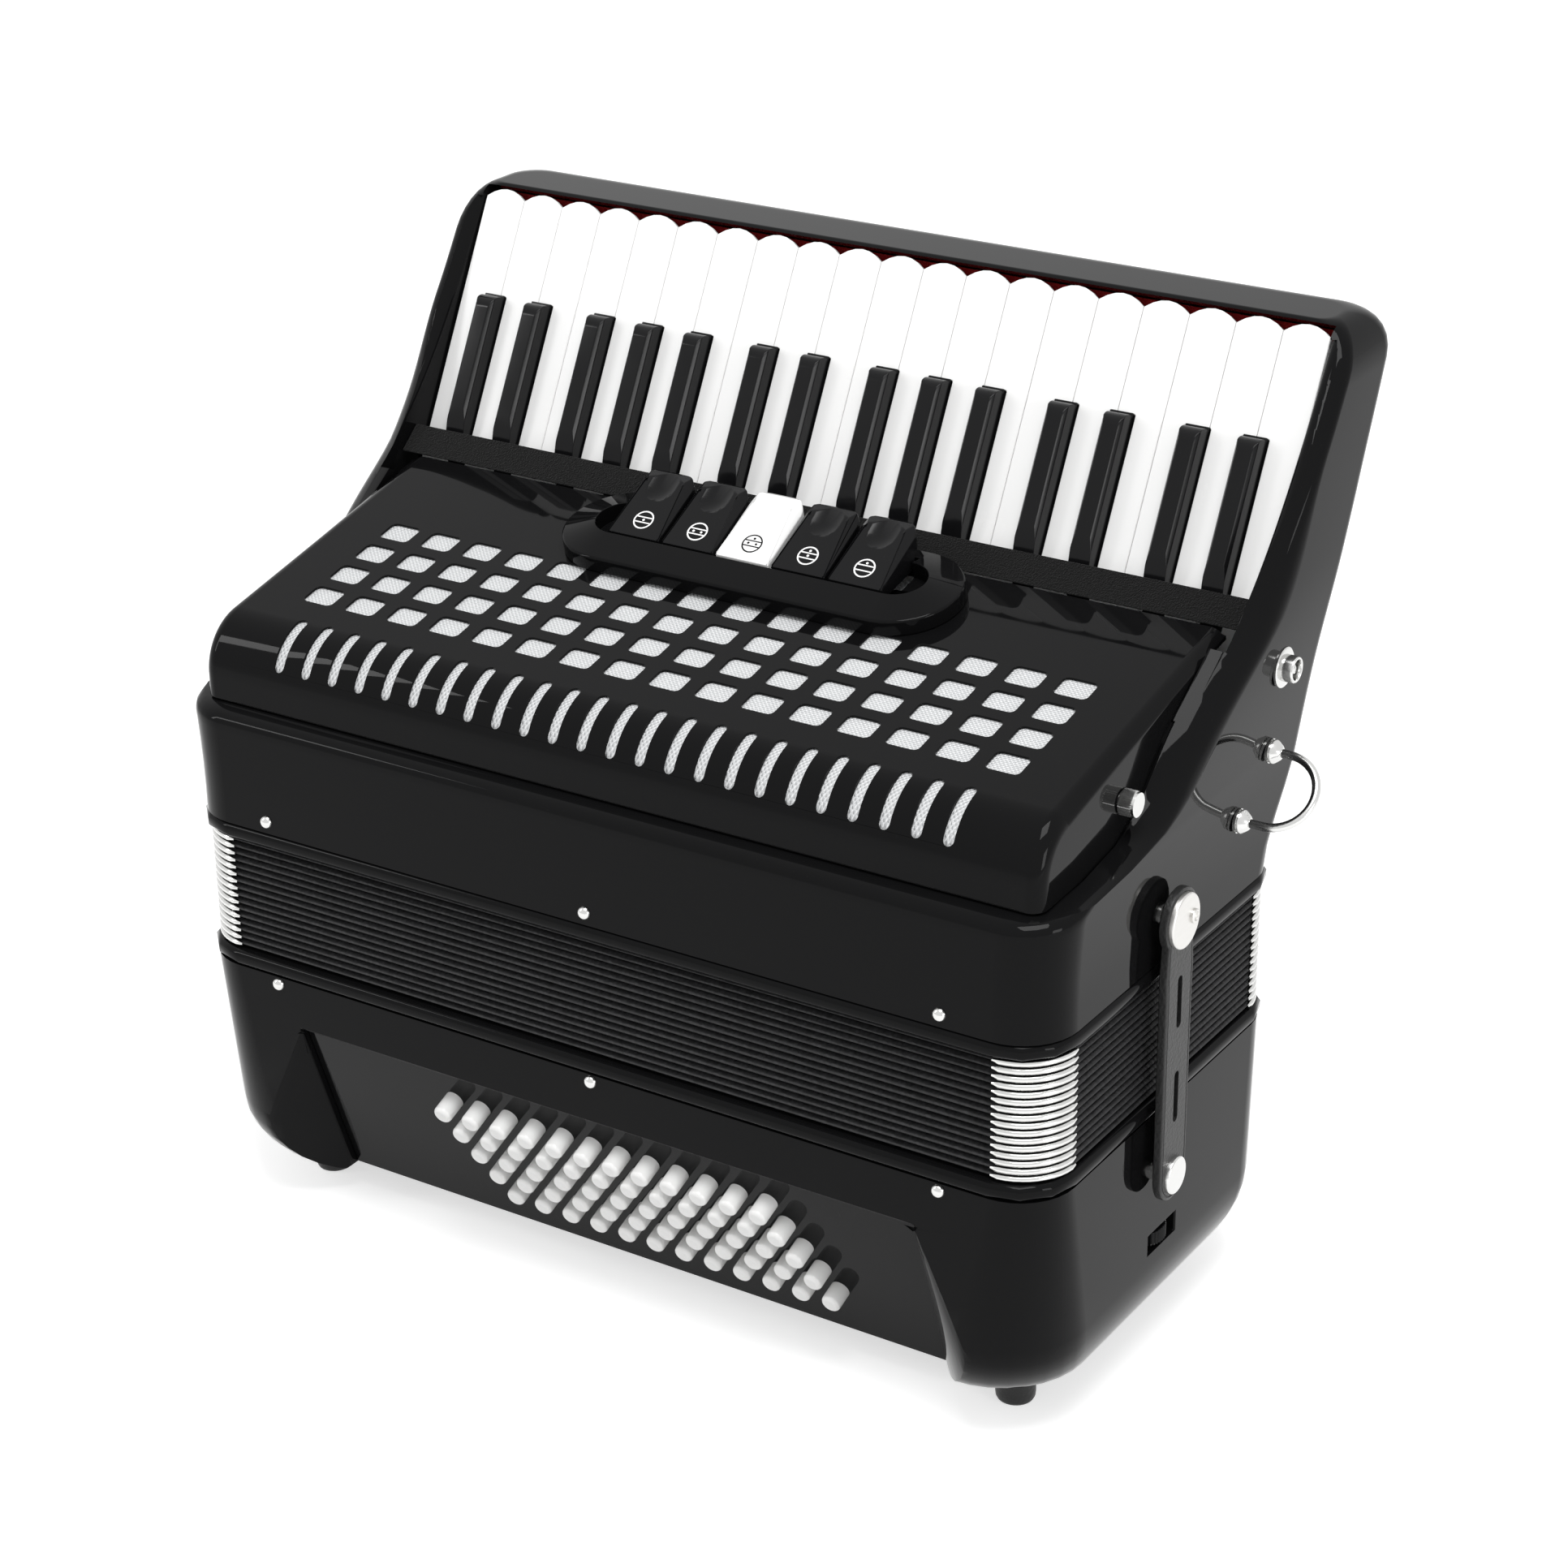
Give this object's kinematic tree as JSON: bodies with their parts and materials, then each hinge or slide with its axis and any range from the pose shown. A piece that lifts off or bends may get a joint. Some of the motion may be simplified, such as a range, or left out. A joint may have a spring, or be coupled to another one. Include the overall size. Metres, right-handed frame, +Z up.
{
  "type": "piano accordion",
  "caption": "Black piano accordion, closed and standing on its bass end, with keyboard, grille, register switches, bass buttons and straps.",
  "frame": {"origin": "centre of the bounding box's bottom, in the plane the four feet stand on", "axes": "+Z up along the bellows' draw, from the bass side to the treble side; +X towards the low notes; -Y towards the grille's side, which the picture shows in front"},
  "size_m": [0.4324, 0.2418, 0.365],
  "materials": {
    "gloss_black_celluloid": "polished black celluloid, mirror gloss",
    "white_key_plastic": "glossy white key plastic",
    "black_key_plastic": "satin to glossy black plastic",
    "chrome": "polished nickel or chrome plate",
    "black_leather": "smooth black leather",
    "black_bellows_cloth": "black bellows cloth with a fine weave",
    "silver_grille_cloth": "silver white woven grille cloth",
    "red_felt": "red felt",
    "black_felt": "black felt",
    "spruce_wood": "bare spruce"
  },
  "bodies": {
    "bass_body": {"bass_casing": "gloss_black_celluloid", "bass_button_board": "gloss_black_celluloid", "bass_strap": "black_leather", "bass_bellows_frame": "gloss_black_celluloid", "bass_reed_block": "spruce_wood", "bellows": "black_bellows_cloth"},
    "treble_body": {"treble_casing": "gloss_black_celluloid", "treble_bellows_frame": "gloss_black_celluloid", "grille_cover": "gloss_black_celluloid", "grille_cloth": "silver_grille_cloth", "register_plate": "gloss_black_celluloid", "key_axle": "chrome", "key_felt": "black_felt", "rail_felt": "red_felt", "treble_reed_block": "spruce_wood", "strap_ring_low_end": "chrome", "strap_ring_high_end": "chrome"},
    "strap_wheel": {"strap_wheel": "black_key_plastic"},
    "air_button": {"air_button": "black_key_plastic"},
    "bellows_strap_low_end": {"bellows_strap_low_end": "black_leather"},
    "bellows_strap_high_end": {"bellows_strap_high_end": "black_leather"},
    "white_key_01": {"white_key_01": "white_key_plastic"},
    "white_key_02": {"white_key_02": "white_key_plastic"},
    "white_key_03": {"white_key_03": "white_key_plastic"},
    "white_key_04": {"white_key_04": "white_key_plastic"},
    "white_key_05": {"white_key_05": "white_key_plastic"},
    "white_key_06": {"white_key_06": "white_key_plastic"},
    "white_key_07": {"white_key_07": "white_key_plastic"},
    "white_key_08": {"white_key_08": "white_key_plastic"},
    "white_key_09": {"white_key_09": "white_key_plastic"},
    "white_key_10": {"white_key_10": "white_key_plastic"},
    "white_key_11": {"white_key_11": "white_key_plastic"},
    "white_key_12": {"white_key_12": "white_key_plastic"},
    "white_key_13": {"white_key_13": "white_key_plastic"},
    "white_key_14": {"white_key_14": "white_key_plastic"},
    "white_key_15": {"white_key_15": "white_key_plastic"},
    "white_key_16": {"white_key_16": "white_key_plastic"},
    "white_key_17": {"white_key_17": "white_key_plastic"},
    "white_key_18": {"white_key_18": "white_key_plastic"},
    "white_key_19": {"white_key_19": "white_key_plastic"},
    "white_key_20": {"white_key_20": "white_key_plastic"},
    "black_key_01": {"black_key_01": "black_key_plastic"},
    "black_key_02": {"black_key_02": "black_key_plastic"},
    "black_key_03": {"black_key_03": "black_key_plastic"},
    "black_key_04": {"black_key_04": "black_key_plastic"},
    "black_key_05": {"black_key_05": "black_key_plastic"},
    "black_key_06": {"black_key_06": "black_key_plastic"},
    "black_key_07": {"black_key_07": "black_key_plastic"},
    "black_key_08": {"black_key_08": "black_key_plastic"},
    "black_key_09": {"black_key_09": "black_key_plastic"},
    "black_key_10": {"black_key_10": "black_key_plastic"},
    "black_key_11": {"black_key_11": "black_key_plastic"},
    "black_key_12": {"black_key_12": "black_key_plastic"},
    "black_key_13": {"black_key_13": "black_key_plastic"},
    "black_key_14": {"black_key_14": "black_key_plastic"},
    "register_switch_1": {"register_switch_1": "black_key_plastic"},
    "register_switch_2": {"register_switch_2": "black_key_plastic"},
    "register_switch_3": {"register_switch_3": "white_key_plastic"},
    "register_switch_4": {"register_switch_4": "black_key_plastic"},
    "register_switch_5": {"register_switch_5": "black_key_plastic"}
  },
  "joints": [
    {"name": "bellows_slide", "type": "slide", "parent": "bass_body", "child": "treble_body", "axis": [0, 0, 1], "range_m": [0, 0.25], "deforming": ["bellows"]},
    {"name": "strap_wheel_turn", "type": "hinge", "parent": "bass_body", "child": "strap_wheel", "pos_m": [0.179, -0.028, 0.051], "axis": [0, 0, 1], "continuous": true},
    {"name": "air_button_press", "type": "slide", "parent": "bass_body", "child": "air_button", "axis": [0, -1, 0], "range_m": [0, 0.0035], "stiffness_N_per_m": 300, "springref_m": -0.008},
    {"name": "strap_low_end_turn", "type": "hinge", "parent": "bass_body", "child": "bellows_strap_low_end", "pos_m": [0.1925, -0.036, 0.0825], "axis": [1, 0, 0], "range_deg": [-110, 110]},
    {"name": "strap_high_end_turn", "type": "hinge", "parent": "bass_body", "child": "bellows_strap_high_end", "pos_m": [-0.1925, -0.036, 0.0825], "axis": [1, 0, 0], "range_deg": [-110, 110]},
    {"name": "white_key_01_press", "type": "hinge", "parent": "treble_body", "child": "white_key_01", "pos_m": [-0.1767, 0.0381, 0.25821], "axis": [-1, 0, 0], "range_deg": [0, 2.2], "stiffness_Nm_per_rad": 0.4, "springref_deg": -8.59},
    {"name": "white_key_02_press", "type": "hinge", "parent": "treble_body", "child": "white_key_02", "pos_m": [-0.1581, 0.0381, 0.25821], "axis": [-1, 0, 0], "range_deg": [0, 2.2], "stiffness_Nm_per_rad": 0.4, "springref_deg": -8.59},
    {"name": "white_key_03_press", "type": "hinge", "parent": "treble_body", "child": "white_key_03", "pos_m": [-0.1395, 0.0381, 0.25821], "axis": [-1, 0, 0], "range_deg": [0, 2.2], "stiffness_Nm_per_rad": 0.4, "springref_deg": -8.59},
    {"name": "white_key_04_press", "type": "hinge", "parent": "treble_body", "child": "white_key_04", "pos_m": [-0.1209, 0.0381, 0.25821], "axis": [-1, 0, 0], "range_deg": [0, 2.2], "stiffness_Nm_per_rad": 0.4, "springref_deg": -8.59},
    {"name": "white_key_05_press", "type": "hinge", "parent": "treble_body", "child": "white_key_05", "pos_m": [-0.1023, 0.0381, 0.25821], "axis": [-1, 0, 0], "range_deg": [0, 2.2], "stiffness_Nm_per_rad": 0.4, "springref_deg": -8.59},
    {"name": "white_key_06_press", "type": "hinge", "parent": "treble_body", "child": "white_key_06", "pos_m": [-0.0837, 0.0381, 0.25821], "axis": [-1, 0, 0], "range_deg": [0, 2.2], "stiffness_Nm_per_rad": 0.4, "springref_deg": -8.59},
    {"name": "white_key_07_press", "type": "hinge", "parent": "treble_body", "child": "white_key_07", "pos_m": [-0.0651, 0.0381, 0.25821], "axis": [-1, 0, 0], "range_deg": [0, 2.2], "stiffness_Nm_per_rad": 0.4, "springref_deg": -8.59},
    {"name": "white_key_08_press", "type": "hinge", "parent": "treble_body", "child": "white_key_08", "pos_m": [-0.0465, 0.0381, 0.25821], "axis": [-1, 0, 0], "range_deg": [0, 2.2], "stiffness_Nm_per_rad": 0.4, "springref_deg": -8.59},
    {"name": "white_key_09_press", "type": "hinge", "parent": "treble_body", "child": "white_key_09", "pos_m": [-0.0279, 0.0381, 0.25821], "axis": [-1, 0, 0], "range_deg": [0, 2.2], "stiffness_Nm_per_rad": 0.4, "springref_deg": -8.59},
    {"name": "white_key_10_press", "type": "hinge", "parent": "treble_body", "child": "white_key_10", "pos_m": [-0.0093, 0.0381, 0.25821], "axis": [-1, 0, 0], "range_deg": [0, 2.2], "stiffness_Nm_per_rad": 0.4, "springref_deg": -8.59},
    {"name": "white_key_11_press", "type": "hinge", "parent": "treble_body", "child": "white_key_11", "pos_m": [0.0093, 0.0381, 0.25821], "axis": [-1, 0, 0], "range_deg": [0, 2.2], "stiffness_Nm_per_rad": 0.4, "springref_deg": -8.59},
    {"name": "white_key_12_press", "type": "hinge", "parent": "treble_body", "child": "white_key_12", "pos_m": [0.0279, 0.0381, 0.25821], "axis": [-1, 0, 0], "range_deg": [0, 2.2], "stiffness_Nm_per_rad": 0.4, "springref_deg": -8.59},
    {"name": "white_key_13_press", "type": "hinge", "parent": "treble_body", "child": "white_key_13", "pos_m": [0.0465, 0.0381, 0.25821], "axis": [-1, 0, 0], "range_deg": [0, 2.2], "stiffness_Nm_per_rad": 0.4, "springref_deg": -8.59},
    {"name": "white_key_14_press", "type": "hinge", "parent": "treble_body", "child": "white_key_14", "pos_m": [0.0651, 0.0381, 0.25821], "axis": [-1, 0, 0], "range_deg": [0, 2.2], "stiffness_Nm_per_rad": 0.4, "springref_deg": -8.59},
    {"name": "white_key_15_press", "type": "hinge", "parent": "treble_body", "child": "white_key_15", "pos_m": [0.0837, 0.0381, 0.25821], "axis": [-1, 0, 0], "range_deg": [0, 2.2], "stiffness_Nm_per_rad": 0.4, "springref_deg": -8.59},
    {"name": "white_key_16_press", "type": "hinge", "parent": "treble_body", "child": "white_key_16", "pos_m": [0.1023, 0.0381, 0.25821], "axis": [-1, 0, 0], "range_deg": [0, 2.2], "stiffness_Nm_per_rad": 0.4, "springref_deg": -8.59},
    {"name": "white_key_17_press", "type": "hinge", "parent": "treble_body", "child": "white_key_17", "pos_m": [0.1209, 0.0381, 0.25821], "axis": [-1, 0, 0], "range_deg": [0, 2.2], "stiffness_Nm_per_rad": 0.4, "springref_deg": -8.59},
    {"name": "white_key_18_press", "type": "hinge", "parent": "treble_body", "child": "white_key_18", "pos_m": [0.1395, 0.0381, 0.25821], "axis": [-1, 0, 0], "range_deg": [0, 2.2], "stiffness_Nm_per_rad": 0.4, "springref_deg": -8.59},
    {"name": "white_key_19_press", "type": "hinge", "parent": "treble_body", "child": "white_key_19", "pos_m": [0.1581, 0.0381, 0.25821], "axis": [-1, 0, 0], "range_deg": [0, 2.2], "stiffness_Nm_per_rad": 0.4, "springref_deg": -8.59},
    {"name": "white_key_20_press", "type": "hinge", "parent": "treble_body", "child": "white_key_20", "pos_m": [0.1767, 0.0381, 0.25821], "axis": [-1, 0, 0], "range_deg": [0, 2.2], "stiffness_Nm_per_rad": 0.4, "springref_deg": -8.59},
    {"name": "black_key_01_press", "type": "hinge", "parent": "treble_body", "child": "black_key_01", "pos_m": [-0.1696, 0.0381, 0.25821], "axis": [-1, 0, 0], "range_deg": [0, 2.2], "stiffness_Nm_per_rad": 0.4, "springref_deg": -8.59},
    {"name": "black_key_02_press", "type": "hinge", "parent": "treble_body", "child": "black_key_02", "pos_m": [-0.1466, 0.0381, 0.25821], "axis": [-1, 0, 0], "range_deg": [0, 2.2], "stiffness_Nm_per_rad": 0.4, "springref_deg": -8.59},
    {"name": "black_key_03_press", "type": "hinge", "parent": "treble_body", "child": "black_key_03", "pos_m": [-0.116, 0.0381, 0.25821], "axis": [-1, 0, 0], "range_deg": [0, 2.2], "stiffness_Nm_per_rad": 0.4, "springref_deg": -8.59},
    {"name": "black_key_04_press", "type": "hinge", "parent": "treble_body", "child": "black_key_04", "pos_m": [-0.093, 0.0381, 0.25821], "axis": [-1, 0, 0], "range_deg": [0, 2.2], "stiffness_Nm_per_rad": 0.4, "springref_deg": -8.59},
    {"name": "black_key_05_press", "type": "hinge", "parent": "treble_body", "child": "black_key_05", "pos_m": [-0.07, 0.0381, 0.25821], "axis": [-1, 0, 0], "range_deg": [0, 2.2], "stiffness_Nm_per_rad": 0.4, "springref_deg": -8.59},
    {"name": "black_key_06_press", "type": "hinge", "parent": "treble_body", "child": "black_key_06", "pos_m": [-0.0394, 0.0381, 0.25821], "axis": [-1, 0, 0], "range_deg": [0, 2.2], "stiffness_Nm_per_rad": 0.4, "springref_deg": -8.59},
    {"name": "black_key_07_press", "type": "hinge", "parent": "treble_body", "child": "black_key_07", "pos_m": [-0.0164, 0.0381, 0.25821], "axis": [-1, 0, 0], "range_deg": [0, 2.2], "stiffness_Nm_per_rad": 0.4, "springref_deg": -8.59},
    {"name": "black_key_08_press", "type": "hinge", "parent": "treble_body", "child": "black_key_08", "pos_m": [0.0142, 0.0381, 0.25821], "axis": [-1, 0, 0], "range_deg": [0, 2.2], "stiffness_Nm_per_rad": 0.4, "springref_deg": -8.59},
    {"name": "black_key_09_press", "type": "hinge", "parent": "treble_body", "child": "black_key_09", "pos_m": [0.0372, 0.0381, 0.25821], "axis": [-1, 0, 0], "range_deg": [0, 2.2], "stiffness_Nm_per_rad": 0.4, "springref_deg": -8.59},
    {"name": "black_key_10_press", "type": "hinge", "parent": "treble_body", "child": "black_key_10", "pos_m": [0.0602, 0.0381, 0.25821], "axis": [-1, 0, 0], "range_deg": [0, 2.2], "stiffness_Nm_per_rad": 0.4, "springref_deg": -8.59},
    {"name": "black_key_11_press", "type": "hinge", "parent": "treble_body", "child": "black_key_11", "pos_m": [0.0908, 0.0381, 0.25821], "axis": [-1, 0, 0], "range_deg": [0, 2.2], "stiffness_Nm_per_rad": 0.4, "springref_deg": -8.59},
    {"name": "black_key_12_press", "type": "hinge", "parent": "treble_body", "child": "black_key_12", "pos_m": [0.1138, 0.0381, 0.25821], "axis": [-1, 0, 0], "range_deg": [0, 2.2], "stiffness_Nm_per_rad": 0.4, "springref_deg": -8.59},
    {"name": "black_key_13_press", "type": "hinge", "parent": "treble_body", "child": "black_key_13", "pos_m": [0.1444, 0.0381, 0.25821], "axis": [-1, 0, 0], "range_deg": [0, 2.2], "stiffness_Nm_per_rad": 0.4, "springref_deg": -8.59},
    {"name": "black_key_14_press", "type": "hinge", "parent": "treble_body", "child": "black_key_14", "pos_m": [0.1674, 0.0381, 0.25821], "axis": [-1, 0, 0], "range_deg": [0, 2.2], "stiffness_Nm_per_rad": 0.4, "springref_deg": -8.59},
    {"name": "register_switch_1_press", "type": "hinge", "parent": "treble_body", "child": "register_switch_1", "pos_m": [-0.0486, -0.01031, 0.26649], "axis": [-1, 0, 0], "range_deg": [0, 6], "stiffness_Nm_per_rad": 0.15, "springref_deg": -11.46},
    {"name": "register_switch_2_press", "type": "hinge", "parent": "treble_body", "child": "register_switch_2", "pos_m": [-0.0243, -0.01031, 0.26649], "axis": [-1, 0, 0], "range_deg": [0, 6], "stiffness_Nm_per_rad": 0.15, "springref_deg": -11.46},
    {"name": "register_switch_3_press", "type": "hinge", "parent": "treble_body", "child": "register_switch_3", "pos_m": [0, -0.01031, 0.26649], "axis": [-1, 0, 0], "range_deg": [0, 6], "stiffness_Nm_per_rad": 0.15, "springref_deg": -11.46},
    {"name": "register_switch_4_press", "type": "hinge", "parent": "treble_body", "child": "register_switch_4", "pos_m": [0.0243, -0.01031, 0.26649], "axis": [-1, 0, 0], "range_deg": [0, 6], "stiffness_Nm_per_rad": 0.15, "springref_deg": -11.46},
    {"name": "register_switch_5_press", "type": "hinge", "parent": "treble_body", "child": "register_switch_5", "pos_m": [0.0486, -0.01031, 0.26649], "axis": [-1, 0, 0], "range_deg": [0, 6], "stiffness_Nm_per_rad": 0.15, "springref_deg": -11.46}
  ]
}
